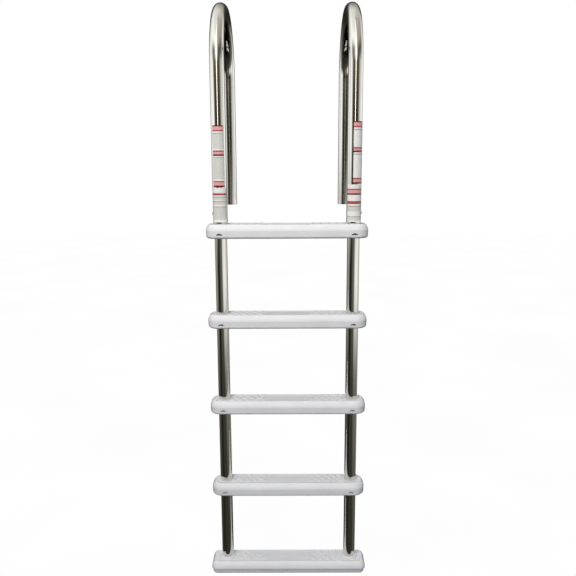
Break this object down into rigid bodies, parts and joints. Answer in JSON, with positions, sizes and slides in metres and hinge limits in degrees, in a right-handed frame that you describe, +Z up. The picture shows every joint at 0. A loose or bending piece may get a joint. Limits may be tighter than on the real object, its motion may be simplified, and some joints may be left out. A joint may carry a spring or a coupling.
{
  "type": "pool and dock ladder",
  "caption": "Stainless tube ladder with white moulded treads and hooked handrails that telescope over the lower rails, for a pool, dock or boat side.",
  "frame": {"origin": "centre of the foot tread's underside, in the plane of the rails' centre lines", "axes": "+Z up along the rails; the climber stands on the -Y side and the handrails hook over to +Y; +X to the climber's right"},
  "size_m": [0.556, 0.4761, 2.0031],
  "materials": {
    "polished_stainless_tube": "mirror-polished stainless steel tube with faint lengthwise polishing",
    "stainless_screw": "plain stainless fastener",
    "white_tread_resin": "satin injection-moulded white resin with a raised diamond grip",
    "grey_nylon": "moulded grey nylon",
    "label_vinyl": "pale vinyl film with plain red bands and no print"
  },
  "bodies": {
    "lower_section": {"foot_tread": "white_tread_resin", "tread_1": "white_tread_resin", "tread_2": "white_tread_resin", "tread_3": "white_tread_resin", "tread_4": "white_tread_resin", "left_lower_rail": "polished_stainless_tube", "right_lower_rail": "polished_stainless_tube", "left_rail_top_plug": "grey_nylon", "right_rail_top_plug": "grey_nylon", "left_rail_foot_plug": "grey_nylon", "right_rail_foot_plug": "grey_nylon", "tread_1_left_screw": "stainless_screw", "tread_1_right_screw": "stainless_screw", "tread_2_left_screw": "stainless_screw", "tread_2_right_screw": "stainless_screw", "tread_3_left_screw": "stainless_screw", "tread_3_right_screw": "stainless_screw", "tread_4_left_screw": "stainless_screw", "tread_4_right_screw": "stainless_screw", "foot_tread_left_screw": "stainless_screw", "foot_tread_right_screw": "stainless_screw"},
    "left_handrail_set": {"left_handrail": "polished_stainless_tube", "left_slip_bush": "grey_nylon", "left_lock_screw": "stainless_screw", "left_upper_label": "label_vinyl", "left_lower_label": "label_vinyl"},
    "right_handrail_set": {"right_handrail": "polished_stainless_tube", "right_slip_bush": "grey_nylon", "right_lock_screw": "stainless_screw", "right_upper_label": "label_vinyl", "right_lower_label": "label_vinyl"}
  },
  "joints": [
    {"name": "left_handrail_slide", "type": "slide", "parent": "lower_section", "child": "left_handrail_set", "axis": [0, 0, 1], "range_m": [0, 0.15]},
    {"name": "right_handrail_slide", "type": "slide", "parent": "lower_section", "child": "right_handrail_set", "axis": [0, 0, 1], "range_m": [0, 0.15]}
  ],
  "couplings": [
    {"joint": "right_handrail_slide", "follows": "left_handrail_slide", "ratio": 1}
  ]
}
